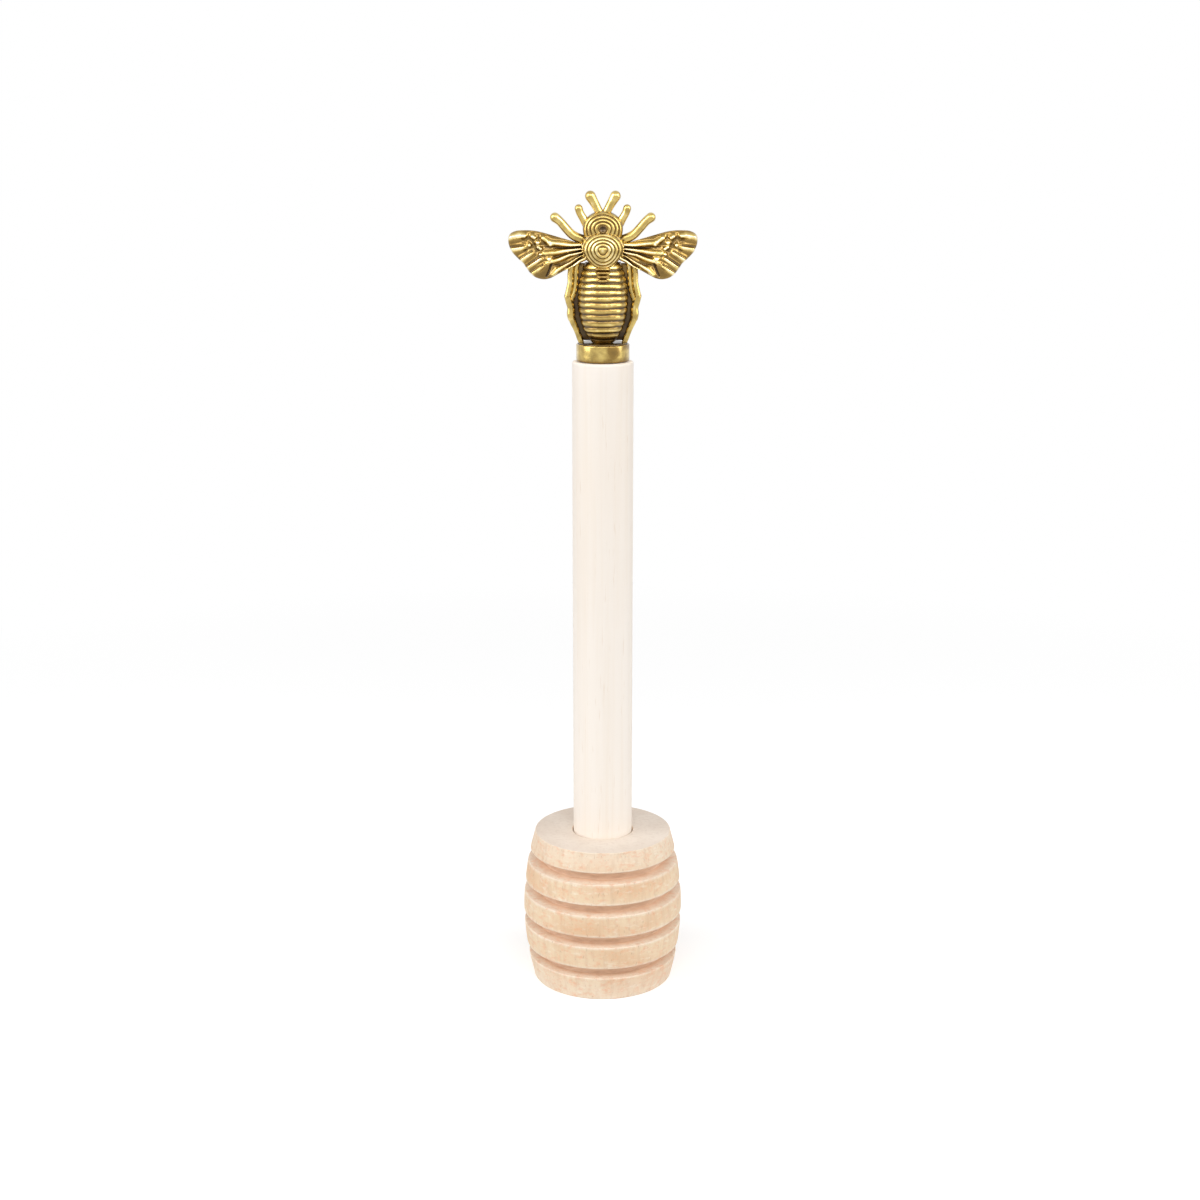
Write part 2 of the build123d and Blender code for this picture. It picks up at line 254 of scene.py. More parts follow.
def smooth_path(points, per_span):
    """Points on a smooth curve through the given points, per_span of them to each span."""
    points = [Vector(p) for p in points]
    ends = [points[0] * 2 - points[1]] + points + [points[-1] * 2 - points[-2]]
    path = []
    for a, b, c, d in zip(ends, ends[1:], ends[2:], ends[3:]):
        for i in range(per_span):
            t = i / per_span
            path.append(((b * 2) + (c - a) * t + (a * 2 - b * 5 + c * 4 - d) * t ** 2
                         + (b * 3 - a - c * 3 + d) * t ** 3) / 2)
    return path + [points[-1]]


def rounded(points, radius, steps=4):
    """A profile's points with each inner corner rounded to at most a radius."""
    points = [Vector(p) for p in points]
    result = [points[0]]
    for before, corner, after in zip(points, points[1:], points[2:]):
        inward, outward = before - corner, after - corner
        # Less than half of each side, so that neighbouring corners keep apart
        reach = min(radius, inward.length / 2.2, outward.length / 2.2)
        start = corner + inward.normalized() * reach
        end = corner + outward.normalized() * reach
        for i in range(steps + 1):
            t = i / steps
            result.append(start * (1 - t) ** 2 + corner * 2 * t * (1 - t) + end * t ** 2)
    return result + [points[-1]]


def profile_verts(bm, points, plane):
    """Vertices and edges of an open profile; plane turns (radius, height) into a place."""
    verts = [bm.verts.new(plane(p)) for p in points]
    edges = [bm.edges.new(pair) for pair in zip(verts, verts[1:])]
    return verts + edges


def spin_closed(bm, points, axis, plane, steps):
    """Full turn of a profile whose ends lie on the axis, with its poles closed."""
    geometry = profile_verts(bm, points, plane)
    bmesh.ops.spin(bm, geom=geometry, cent=(0, 0, 0), axis=axis, angle=math.tau, steps=steps,
                   use_merge=True, use_duplicate=False)
    bmesh.ops.remove_doubles(bm, verts=bm.verts, dist=1e-6)
    bmesh.ops.recalc_face_normals(bm, faces=bm.faces)


def standing(point):
    """Place of a (radius, height) point of a profile that turns about Z."""
    return (point[0], 0, point[1])


def facing(point):
    """Place of a (radius, depth) point of a profile that turns about Y."""
    return (point[0], -point[1], 0)


def new_piece(name, bm, material, slot, *nodes):
    """Makes a piece of a finished mesh; it stands for its CAD nodes and rides on the one body."""
    mesh = bpy.data.meshes.new(name)
    bm.to_mesh(mesh)
    bm.free()
    mesh.shade_smooth()
    mesh.materials.append(material)
    piece = bpy.data.objects.new(name, mesh)
    bpy.context.scene.collection.objects.link(piece)
    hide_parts(*nodes)
    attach(piece, "root")


class Nodes:
    """Short calls for a material's nodes."""

    def __init__(self, name):
        self.material = bpy.data.materials.new(name)
        self.material.use_nodes = True
        self.tree = self.material.node_tree
        self.shader = self.tree.nodes["Principled BSDF"]

    def add(self, kind, inputs=None, **settings):
        node = self.tree.nodes.new(kind)
        for key, value in settings.items():
            setattr(node, key, value)
        for key, value in (inputs or {}).items():
            self.put(node.inputs[key], value)
        return node

    def put(self, socket, value):
        if isinstance(value, bpy.types.NodeSocket):
            self.tree.links.new(value, socket)
        elif isinstance(value, (tuple, list)) and len(value) == 3 and socket.type == "RGBA":
            socket.default_value = (*value, 1)
        else:
            socket.default_value = value

    def place(self, scale):
        """Object coordinates, scaled along each axis."""
        coordinates = self.add("ShaderNodeTexCoord")
        return self.add("ShaderNodeMapping", {"Vector": coordinates.outputs["Object"],
                                              "Scale": scale}).outputs["Vector"]

    def noise(self, scale, detail=3.0, roughness=0.5):
        """Cloudy pattern with a cycle for each unit of scale, around 0.5."""
        return self.add("ShaderNodeTexNoise", {
            "Vector": self.place(scale), "Scale": 1.0, "Detail": detail,
            "Roughness": roughness}).outputs["Fac"]

    def attribute(self, name):
        return self.add("ShaderNodeAttribute", attribute_name=name).outputs["Fac"]

    def math(self, operation, first, second=0.0):
        return self.add("ShaderNodeMath", {0: first, 1: second}, operation=operation).outputs[0]

    def span(self, value, low, high, new_low=0.0, new_high=1.0):
        """Maps low to high onto new_low to new_high, held at the ends."""
        return self.add("ShaderNodeMapRange", {
            "Value": value, "From Min": low, "From Max": high, "To Min": new_low,
            "To Max": new_high}).outputs["Result"]

    def mix(self, share, first, second):
        """From the first colour at share 0 to the second at share 1."""
        node = self.add("ShaderNodeMix", data_type="RGBA")
        self.put(node.inputs["Factor"], share)
        self.put(node.inputs[6], first)
        self.put(node.inputs[7], second)
        return node.outputs[2]

    def layer(self, tone, pattern, low, high, most, colour):
        """Lays a colour over a tone where a pattern rises from low to high, up to a share of most."""
        return self.mix(self.span(pattern, low, high, 0.0, most), tone, colour)

    def finish(self, colour, roughness, bump=None, strength=0.2, distance=0.1 * MM):
        self.put(self.shader.inputs["Base Color"], colour)
        self.put(self.shader.inputs["Roughness"], roughness)
        if bump is not None:
            node = self.add("ShaderNodeBump", {"Strength": strength, "Distance": distance, "Height": bump})
            self.put(self.shader.inputs["Normal"], node.outputs["Normal"])
        return self.material


def up_share(nodes):
    """1 where a face looks up or down, 0 where it is upright."""
    geometry = nodes.add("ShaderNodeNewGeometry")
    parts = nodes.add("ShaderNodeSeparateXYZ", {"Vector": geometry.outputs["Normal"]})
    return nodes.math("ABSOLUTE", parts.outputs["Z"])


def head_wood(settings):
    """Mottled beech: blushed and bleached patches, grain, flecks, pale edges with a painted highlight,
    streaked groove floors lightened with painted light, and end grain.
    """
    nodes = Nodes("turned beech")
    cloud = nodes.noise((85, 85, 130), detail=2.0)
    face = nodes.layer(tuple(settings.head_colour), cloud, 0.44, 0.68, 0.8, tuple(settings.tan_colour))
    # Painted highlight along the rings' edges, and paler outer quarters
    face = nodes.mix(nodes.attribute("pale_and_edge_highlight"), face, pale_edge_highlight)
    blush = nodes.noise((620, 620, 900), detail=5.0, roughness=0.7)
    face = nodes.layer(face, blush, 0.50, 0.66, 0.62, blushed)
    bleach = nodes.noise((480, 480, 1300), detail=4.0, roughness=0.65)
    face = nodes.layer(face, bleach, 0.54, 0.70, 0.45, bleached)
    grain = nodes.noise((1000, 1000, 120), detail=4.0, roughness=0.6)
    face = nodes.layer(face, grain, 0.48, 0.74, 0.36, head_grain)
    fleck = nodes.noise((2900, 2900, 900), detail=1.0)
    face = nodes.layer(face, fleck, 0.67, 0.77, 0.42, head_fleck)
    streak = nodes.noise((420, 420, 1500), detail=3.0)
    # Groove floors: their own tone with streaks, lightened as painted light where the grooves lie in shade
    floor = nodes.layer(tuple(settings.groove_colour), streak, 0.42, 0.68, 0.45, groove_streak)
    face = nodes.mix(nodes.span(nodes.attribute("groove"), 0.30, 0.95), face, floor)
    pore = nodes.noise((1300, 1300, 700), detail=1.0)
    end = nodes.layer(tuple(settings.end_colour), pore, 0.50, 0.68, 0.16, end_pore)
    end = nodes.layer(end, cloud, 0.40, 0.62, 0.45, end_cloud)
    flat = nodes.span(up_share(nodes), 0.75, 0.97)
    on_end = nodes.math("MULTIPLY", flat, nodes.span(nodes.attribute("end"), 0.5, 0.6))
    tone = nodes.mix(on_end, face, end)
    return nodes.finish(tone, nodes.span(grain, 0.3, 0.7, 0.52, 0.66), bump=grain, strength=0.20)


def handle_wood(settings):
    """Paler beech of the dowel, with its grain along the handle."""
    nodes = Nodes("dowel beech")
    grain = nodes.noise((650, 650, 18), detail=4.0, roughness=0.6)
    tone = nodes.layer(tuple(settings.handle_colour), grain, 0.45, 0.75, 0.35, handle_grain)
    cloud = nodes.noise((60, 60, 22), detail=2.0)
    tone = nodes.layer(tone, cloud, 0.45, 0.70, 0.30, handle_cloud)
    fleck = nodes.noise((2400, 2400, 160), detail=2.0)
    tone = nodes.layer(tone, fleck, 0.66, 0.76, 0.35, handle_fleck)
    return nodes.finish(tone, nodes.span(grain, 0.3, 0.7, 0.50, 0.62), bump=grain, strength=0.12)


def plated_gold(settings, name="antique gold", darkening=1.0):
    """Gold plating: a painted highlight of pale gold on the highest crests, bright on the crowns, and dark
    where the marks give patina or painted shade.
    """
    nodes = Nodes(name)
    # The mark holds patina in the hollows, painted shade, and below zero a painted highlight
    patina_and_painted_light = nodes.attribute("patina_and_painted_light")
    stain = nodes.noise((500, 500, 500), detail=3.0, roughness=0.6)
    uneven = nodes.math("ADD", patina_and_painted_light, nodes.span(stain, 0.3, 0.7, -0.10, 0.12))
    tone = nodes.mix(nodes.span(uneven, 0.02, 0.38), tuple(settings.bright_colour),
                     tuple(settings.gold_colour))
    # Painted highlight: the crest colour where the marks run lowest, on the highest crests
    tone = nodes.mix(nodes.span(uneven, -0.08, 0.12, 0.85, 0.0), tone, tuple(settings.crest_highlight_colour))
    tone = nodes.layer(tone, uneven, 0.45, 0.95, darkening, tuple(settings.patina_colour))
    tarnish = nodes.noise((330, 330, 330), detail=3.0, roughness=0.6)
    tone = nodes.layer(tone, tarnish, 0.50, 0.70, 0.45, tarnished)
    roughness = nodes.math("ADD", nodes.span(uneven, 0.1, 0.9, 0.17, 0.40),
                           nodes.span(stain, 0.3, 0.7, -0.03, 0.06))
    nodes.shader.inputs["Metallic"].default_value = 1.0
    nodes.shader.inputs["Coat Weight"].default_value = 0.55
    nodes.shader.inputs["Coat Roughness"].default_value = 0.16
    return nodes.finish(tone, roughness, bump=stain, strength=0.12, distance=0.05 * MM)


def stud_steel():
    """Dull zinc plating of the hidden stud."""
    nodes = Nodes("zinc plated steel")
    nodes.shader.inputs["Metallic"].default_value = 1.0
    tone = nodes.mix(nodes.noise((900, 900, 900)), dull_steel, clear_steel)
    return nodes.finish(tone, nodes.span(nodes.noise((400, 400, 400)), 0.3, 0.7, 0.28, 0.42))


def barrel_radius(height):
    """The barrel's curve, in metres, through its foot, waist and top radii."""
    share = height / head_high.z
    chord = barrel_foot * (1 - share) + barrel_top * share
    return chord + (head_high.x - (barrel_foot + barrel_top) / 2) * 4 * share * (1 - share)


def ring_spans(settings):
    """Bottom and top of each ring; the top ring is about a fifth lower than the bottom one."""
    lessening = 0.21
    weights = [1 - lessening * i / settings.groove_count for i in range(settings.groove_count + 1)]
    wood = head_high.z - settings.groove_count * settings.groove_width
    spans, bottom = [], 0.0
    for weight in weights:
        top = bottom + wood * weight / sum(weights)
        spans.append((bottom, top))
        bottom = top + settings.groove_width
    return spans


def head_profile(settings):
    """Corners of the turned head, from the middle of its foot to the floor of its socket."""
    corners = [(0, 0)]
    previous = None
    steps = 7
    for bottom, top in ring_spans(settings):
        if previous is not None:
            floor = barrel_radius((previous + bottom) / 2) - settings.groove_depth
            corners += [(floor, previous), (floor, bottom)]
        heights = [bottom + (top - bottom) * i / steps for i in range(steps + 1)]
        corners += [(barrel_radius(height), height) for height in heights]
        previous = top
    socket = handle_high.x + socket_gap
    return corners + [(socket, head_high.z), (socket, handle_low.z), (0, handle_low.z)]


def build_head(settings):
    """Turned head, with marks for grooves, end grain and pale edges with a painted highlight, and a slightly
    uneven surface.
    """
    bm = bmesh.new()
    spin_closed(bm, rounded(head_profile(settings), settings.edge_radius), UP, standing, 168)
    groove = bm.verts.layers.float.new("groove")
    end = bm.verts.layers.float.new("end")
    pale_and_edge_highlight = bm.verts.layers.float.new("pale_and_edge_highlight")
    edges = [height for span in ring_spans(settings) for height in span]
    unevenness, edge_highlight_reach = 0.05 * MM, 0.9 * MM
    for vert in bm.verts:
        radius = math.hypot(vert.co.x, vert.co.y)
        depth = (barrel_radius(vert.co.z) - radius) / settings.groove_depth
        on_end = min(vert.co.z, head_high.z - vert.co.z) < 0.3 * MM
        vert[groove] = 0.0 if on_end else max(0.0, min(1.0, depth))
        vert[end] = 1.0 if on_end else 0.0
        # Paler near each ring's edges, a painted highlight of the edges catching the light, and more and
        # more so over the barrel's outer quarters
        nearest = min(abs(vert.co.z - height) for height in edges)
        outer = max(0.0, abs(vert.co.z / head_high.z - 0.52) - 0.26) * 2.2
        vert[pale_and_edge_highlight] = min(0.85, max(0.75 - nearest / edge_highlight_reach, outer))
        if radius > handle_high.x + 1 * MM and not on_end:
            shrink = 1 - (unevenness - noise.noise(vert.co * 160) * unevenness) / radius
            vert.co.x *= shrink
            vert.co.y *= shrink
    return bm


def build_handle():
    """Dowel with softened ends, in rows up its length."""
    bm = bmesh.new()
    radius, low, high, softening = handle_high.x, handle_low.z, handle_high.z, 0.5 * MM
    steps = 24
    wall = [(radius, low + (high - low) * i / steps) for i in range(steps + 1)]
    profile = [(0, low), (radius, low)] + wall[1:-1] + [(radius, high), (0, high)]
    spin_closed(bm, rounded(profile, softening), UP, standing, 96)
    return bm


def build_collar():
    """Ring with rounded edges, a recess in its top and a bore."""
    bm = bmesh.new()
    radius, low, high = collar_high.x, collar_low.z, collar_high.z
    floor = high - recess_depth
    outline = [(collar_bore, low), (radius, low), (radius, (low + high) / 2), (radius, high),
               (collar_recess, high), (collar_recess, floor), (collar_bore, floor), (collar_bore, low)]
    profile = rounded(outline, 0.5 * MM)
    geometry = profile_verts(bm, profile[:-1], standing)
    geometry.append(bm.edges.new((geometry[len(profile) - 2], geometry[0])))
    bmesh.ops.spin(bm, geom=geometry, cent=(0, 0, 0), axis=UP, angle=math.tau, steps=120,
                   use_merge=True, use_duplicate=False)
    bmesh.ops.remove_doubles(bm, verts=bm.verts, dist=1e-6)
    bmesh.ops.recalc_face_normals(bm, faces=bm.faces)
    mark = bm.verts.layers.float.new("patina_and_painted_light")
    overall_darkening, painted_foot_shade, foot_height, ripple = 0.16, 0.45, 0.7 * MM, 0.04 * MM
    for vert in bm.verts:
        spread = math.hypot(vert.co.x, vert.co.y)
        inside = spread < collar_recess + 0.2 * MM and vert.co.z > low + recess_depth
        foot = max(0.0, 1 - (vert.co.z - low) / foot_height)
        patch = max(0.0, noise.noise(vert.co * 330 + Vector((3, 1, 7)))) * 0.9
        # Patina and painted shade in the recess under the bee's pad, painted shade towards the foot where it
        # meets the handle, darker all over, and random patches
        vert[mark] = 1.0 if inside else min(1.0, overall_darkening + painted_foot_shade * foot + patch)
        if not inside:
            vert.co += vert.normal * (noise.noise(vert.co * 700) - 1) * ripple
    return bm


def bead(share):
    """Height of a round bead over its pitch, 0 in the valleys and 1 on the crown."""
    roundness = 0.48
    return abs(math.sin(math.pi * share)) ** roundness


def egg_reach(height):
    """Radius of the abdomen's egg at a height."""
    rise = height - egg_middle
    reach = egg_upper if rise > 0 else egg_lower
    return egg_radius * math.sqrt(max(0.0, 1 - (rise / reach) ** 2))


def build_abdomen(bm, settings):
    """Front half of an egg of round ribs, leaning forward at its foot."""
    pitch, relief = settings.rib_pitch / MM, settings.rib_relief / MM
    start, first_valley, top, rows = 0.1, 1.05, 15.6, 170
    # Painted shade under each rib, and a painted dark reflection that darkens the whole abdomen
    overall_darkening, undershade, undershade_reach, ripple = 0.13, 0.30, 0.36, 0.10
    stations = [start + (top - start) * i / rows for i in range(rows + 1)]

    def rib(height):
        return bead((height - first_valley) / pitch)

    points = [(max(0.2, egg_reach(z) - relief * (1 - rib(z))), z) for z in stations]
    spin_closed(bm, [(0, start)] + points + [(0, top)], UP, standing, 112)
    mark = bm.verts.layers.float.new("patina_and_painted_light")
    for vert in bm.verts:
        # Dark patina in the valleys, painted shade on each rib's underside, and darker all over as a painted
        # dark reflection
        turn = (vert.co.z - first_valley) / pitch % 1
        painted_shade_below = max(0.0, 1 - turn / undershade_reach) * undershade
        vert[mark] = min(1.0, (1 - rib(vert.co.z)) ** 0.9 * 1.1 + painted_shade_below + overall_darkening)
        vert.co.z += ripple * noise.noise(Vector((vert.co.x * 0.35, vert.co.y * 0.35, vert.co.z * 0.5)))
    cut = bmesh.ops.bisect_plane(bm, geom=bm.verts[:] + bm.edges[:] + bm.faces[:], plane_co=(0, 0, 0),
                                 plane_no=(0, 1, 0), clear_outer=True)
    rim = [e for e in cut["geom_cut"] if isinstance(e, bmesh.types.BMEdge)]
    bmesh.ops.holes_fill(bm, edges=rim, sides=0)
    for vert in bm.verts:
        vert.co.y += egg_set_back + (vert.co.z - egg_middle) * egg_lean


def build_ringed_dome(bm, rings, depth, base, back, centre, narrowing, pit):
    """Dome towards the front: concentric beads between the ring radii, on a plain rim."""
    radius, relief, squash = rings[-1], 0.27, 0.86
    # The head's dome is darker all over than the thorax's
    darkening = 0.15 if pit else 0.04
    valleys = (0.0,) + rings

    def ring(reach):
        for low, high in zip(valleys, valleys[1:]):
            if reach <= high:
                return bead((reach - low) / (high - low)) if low else bead(0.5 + reach / high / 2)
        return 0.0

    rows = 130
    stations = [radius * (1 - (1 - i / rows) ** 1.35) for i in range(rows + 1)]
    points = []
    for reach in stations:
        front = base + (depth - base) * math.sqrt(max(0.0, 1 - (reach / radius) ** 2))
        sunk = pit * max(0.0, 1 - (reach / rings[0]) ** 2) ** 2
        points.append((reach, front - relief * (1 - ring(reach)) * min(1.0, (radius - reach) / 0.3) - sunk))
    points += [(radius, -back + 0.3), (radius - 0.3, -back), (0, -back)]
    spin_closed(bm, points, BACK, facing, 100)
    mark = bm.verts.layers.float.new("patina_and_painted_light")
    for vert in bm.verts:
        # Dark patina between the rings, painted shade on the lower half, and darkest in the pit of the
        # innermost one
        reach = math.hypot(vert.co.x, vert.co.z)
        painted_shade_below = 0.2 if vert.co.z < 0 else 0.0
        dark = (1 - ring(reach)) ** 0.9 * 0.68 + painted_shade_below * (1 - ring(reach))
        if pit:
            dark = max(dark, 0.95 * max(0.0, 1 - (reach / rings[0]) ** 3))
        vert[mark] = min(1.0, dark + darkening) if vert.co.y < -base * 0.6 else 0.6
        x, z = vert.co.x, vert.co.z
        if z < 0:
            fall = -z / radius
            x *= 1 - narrowing * reach / radius * fall ** 2 / (fall + 0.12)
        else:
            z *= squash
        vert.co.x, vert.co.z = x, z + centre


def nearest_on(path, x, z):
    """Distance from a place to a path of (across, up) points, and the share along it."""
    best, along = 1e9, 0.0
    count = len(path) - 1
    for i in range(count):
        ax, az = path[i]
        dx, dz = path[i + 1][0] - ax, path[i + 1][1] - az
        t = ((x - ax) * dx + (z - az) * dz) / (dx * dx + dz * dz)
        t = max(0.0, min(1.0, t))
        gap = (x - ax - dx * t) ** 2 + (z - az - dz * t) ** 2
        if gap < best:
            best, along = gap, (i + t) / count
    return math.sqrt(best), along


def wing_relief(x, z):
    """Height of the wing's carving at a place, and how deep in its recesses that place lies."""
    height, depth, dark = 0.0, 0.0, 0.0
    # The highest ridge or bump counts, less the deepest line or pit
    for path in wing_ribs:
        gap, along = nearest_on(path, x, z)
        height = max(height, (0.68 - 0.18 * along) * math.exp(-(gap / (0.40 + 0.10 * along)) ** 2))
    for path in flute_ridges:
        gap, along = nearest_on(path, x, z)
        height = max(height, (0.55 + 0.10 * along) * math.exp(-(gap / 0.60) ** 2))
    for bx, bz, radius in wing_bumps:
        gap = math.hypot(x - bx, z - bz)
        height = max(height, 0.70 * math.exp(-(gap / (radius * 1.40)) ** 2))
    for path in wing_lines:
        gap, along = nearest_on(path, x, z)
        cut = (1 - 0.5 * along) * math.exp(-(gap / 0.17) ** 2)
        depth, dark = max(depth, 0.30 * cut), max(dark, cut)
    for path in flute_lines:
        gap, along = nearest_on(path, x, z)
        cut = math.exp(-(gap / 0.19) ** 2)
        depth, dark = max(depth, 0.30 * cut), max(dark, 0.85 * cut)
    for px, pz, radius in wing_pits:
        cut = math.exp(-(math.hypot(x - px, z - pz) / radius) ** 2)
        depth, dark = max(depth, 0.16 * cut), max(dark, 0.25 * cut)
    return height - depth, dark


def build_wing(bm):
    """One wing: rays from the root to the outline, carved in front and plain behind."""
    outline = smooth_path([(x, 0, z) for x, z in wing_outline], 6)
    rays = len(outline)
    root_top, root_foot = Vector(outline[0]), Vector(outline[-1])
    inner_end, half_thickness, rim, upper_margin = 2.6, 0.58, 0.55, 18.5
    mark = bm.verts.layers.float.new("patina_and_painted_light")
    for front, rows, crowding in ((True, 92, 1.15), (False, 26, 2.0)):
        grid = bmesh.ops.create_grid(bm, x_segments=rays - 1, y_segments=rows - 1, size=1)["verts"]
        for vert in grid:
            ray = round((vert.co.x + 1) / 2 * (rays - 1))
            row = (vert.co.y + 1) / 2
            root = root_top.lerp(root_foot, ray / (rays - 1))
            start = Vector((inner_end, 0, root.z))
            place = start.lerp(outline[ray], 1 - (1 - row) ** crowding)
            edge = nearest_edge(outline, ray, place)
            body = math.sqrt(max(0.0, 1 - (1 - min(1.0, edge / rim)) ** 2))
            camber = -0.25 * math.sin(math.pi * min(1.0, place.x / wing_reach))
            if front:
                carved, groove = wing_relief(place.x, place.z)
                lift = half_thickness * body + carved * min(1.0, edge / 0.35)
                # A painted highlight on high carving, pale along the rim, dark patina in the lines and
                # painted shade beside the thorax
                shelf = max(0.0, 1 - edge / (0.9 if place.z > upper_margin else 0.4))
                shade = 0.55 - max(0.0, carved) + 0.50 * groove - 0.14 * shelf
                shade += 0.12 * max(0.0, 1 - (place.x - 3.6) / 1.6)
                vert[mark] = max(-0.2, min(1.0, shade))
                vert.co = (place.x, camber - lift, place.z)
            else:
                vert[mark] = 0.35
                vert.co = (place.x, camber + half_thickness * body, place.z)
    bmesh.ops.remove_doubles(bm, verts=bm.verts, dist=1e-4)
    bmesh.ops.holes_fill(bm, edges=[e for e in bm.edges if e.is_boundary], sides=0)
    bmesh.ops.recalc_face_normals(bm, faces=bm.faces)


def nearest_edge(outline, ray, place, reach=14):
    """Distance from a place on a ray to the wing's edge, sought a few rays to each side."""
    near = outline[max(0, ray - reach):ray + reach + 1]
    return min((place - p).length for p in near)


def build_limb(bm, points, radii):
    """Round limb along a smooth path, with domed ends, darker towards its root."""
    per_span, cap_rows, sides = 5, 5, 20
    path = smooth_path([(x, -front, z) for x, front, z in points], per_span)
    girth = [v.x for v in smooth_path([(r, 0, 0) for r in radii], per_span)]
    start, end = (path[1] - path[0]).normalized(), (path[-1] - path[-2]).normalized()
    stations = []
    for i in range(cap_rows):
        angle = math.pi / 2 * (1 - i / cap_rows)
        stations.append((path[0] - start * girth[0] * math.sin(angle), girth[0] * math.cos(angle), start))
    for i, place in enumerate(path):
        ahead, behind = path[min(i + 1, len(path) - 1)], path[max(i - 1, 0)]
        stations.append((place, girth[i], (ahead - behind).normalized()))
    for i in range(1, cap_rows + 1):
        angle = math.pi / 2 * i / cap_rows
        stations.append((path[-1] + end * girth[-1] * math.sin(angle), girth[-1] * math.cos(angle), end))
    mark = bm.verts.layers.float.new("patina_and_painted_light")
    for number, (place, radius, along) in enumerate(stations):
        side = along.cross(BACK).normalized()
        front = side.cross(along).normalized()
        if number == 0:
            made = bmesh.ops.create_circle(bm, segments=sides, radius=1)["verts"]
            edges = list({e for v in made for e in v.link_edges})
            order = {v: i for i, v in enumerate(made)}
        else:
            made = bmesh.ops.extrude_edge_only(bm, edges=edges)["geom"]
            edges = [g for g in made if isinstance(g, bmesh.types.BMEdge) and g.is_boundary]
            order = {v: order_before(v, order) for v in made if isinstance(v, bmesh.types.BMVert)}
        for vert, turn in order.items():
            angle = math.tau * turn / sides
            vert.co = place + (side * math.cos(angle) + front * math.sin(angle)) * max(radius, 1e-4)
            vert[mark] = max(0.15, 0.75 - number * 0.09)
    bmesh.ops.remove_doubles(bm, verts=bm.verts, dist=1e-3)
    bmesh.ops.holes_fill(bm, edges=[e for e in bm.edges if e.is_boundary], sides=0)
    bmesh.ops.recalc_face_normals(bm, faces=bm.faces)


def order_before(vert, previous):
    """Turn number of the vertex that a new one was extruded from."""
    for edge in vert.link_edges:
        other = edge.other_vert(vert)
        if other in previous:
            return previous[other]
    raise RuntimeError("an extruded vertex has no parent")


def build_leg_wall(bm):
    """Flat wall behind the hind legs, its edges broken, darker between them than beside the thighs."""
    half = [(x, z) for x, z in leg_wall if x > 0]
    edge = [leg_wall[0]] + half + [leg_wall[-1]] + [(-x, z) for x, z in reversed(half)]
    face = bm.faces.new([bm.verts.new((x, leg_wall_front, z)) for x, z in edge])
    grown = bmesh.ops.extrude_face_region(bm, geom=[face])["geom"]
    moved = [g for g in grown if isinstance(g, bmesh.types.BMVert)]
    bmesh.ops.translate(bm, vec=(0, leg_wall_back - leg_wall_front, 0), verts=moved)
    bmesh.ops.recalc_face_normals(bm, faces=bm.faces)
    sharp = [e for e in bm.edges if e.is_manifold and e.calc_face_angle() > 1.0]
    bmesh.ops.bevel(bm, geom=sharp, offset=0.15, offset_type="OFFSET", segments=2, profile=0.5,
                    affect="EDGES", material=-1)
    mark = bm.verts.layers.float.new("patina_and_painted_light")
    for vert in bm.verts:
        # Patina and painted shade: darkest between the legs and the abdomen, less beside the thighs near the
        # top
        beside = abs(vert.co.x) > 5.2 and vert.co.z > 12.0
        vert[mark] = 0.63 if beside else 0.93


def build_foot(bm):
    """Pad in the collar's recess, its spigot, and the boss that shows behind the abdomen."""
    spin_closed(bm, rounded(foot_profile, 0.18), UP, standing, 96)
    mark = bm.verts.layers.float.new("patina_and_painted_light")
    for vert in bm.verts:
        # Dark all over: patina and painted shade, in the collar's recess and behind the abdomen
        vert[mark] = 0.88


def build_tongue(bm, height, width):
    """One cross bar of the tongue: a flattened bead, sunk a little into the front of the abdomen."""
    front = egg_set_back + (height - egg_middle) * egg_lean - egg_reach(height)
    sunk, half_depth, half_height = 0.30, 0.85, 0.42
    bmesh.ops.create_uvsphere(bm, u_segments=28, v_segments=18, radius=1)
    bmesh.ops.scale(bm, vec=(width / 2, half_depth, half_height), verts=bm.verts)
    bmesh.ops.translate(bm, vec=(0, front + sunk, height), verts=bm.verts)
    mark = bm.verts.layers.float.new("patina_and_painted_light")
    for vert in bm.verts:
        vert[mark] = min(1.0, 0.25 + abs(vert.co.z - height) * 1.2)


def add_part(whole, build, *values, mirrored=False):
    """Builds a part in its own mesh and joins it to the bee, once or on both sides."""
    for side in ((1, -1) if mirrored else (1,)):
        bm = bmesh.new()
        build(bm, *values)
        if side < 0:
            bmesh.ops.scale(bm, vec=(-1, 1, 1), verts=bm.verts)
            bmesh.ops.reverse_faces(bm, faces=bm.faces)
        mesh = bpy.data.meshes.new("part")
        bm.to_mesh(mesh)
        bm.free()
        whole.from_mesh(mesh)
        bpy.data.meshes.remove(mesh)


def build_bee(settings):
    """The whole casting, made in millimetres and then put on the collar's top."""
    whole = bmesh.new()
    whole.verts.layers.float.new("patina_and_painted_light")
    add_part(whole, build_abdomen, settings)
    add_part(whole, build_ringed_dome, *thorax_dome)
    add_part(whole, build_ringed_dome, *head_dome)
    for bar in tongue_bars:
        add_part(whole, build_tongue, *bar)
    add_part(whole, build_foot)
    add_part(whole, build_leg_wall)
    add_part(whole, build_wing, mirrored=True)
    for points, radii in limbs.values():
        add_part(whole, build_limb, points, radii, mirrored=True)
    bmesh.ops.scale(whole, vec=(MM, MM, MM), verts=whole.verts)
    bmesh.ops.translate(whole, vec=(0, 0, collar_high.z), verts=whole.verts)
    return whole


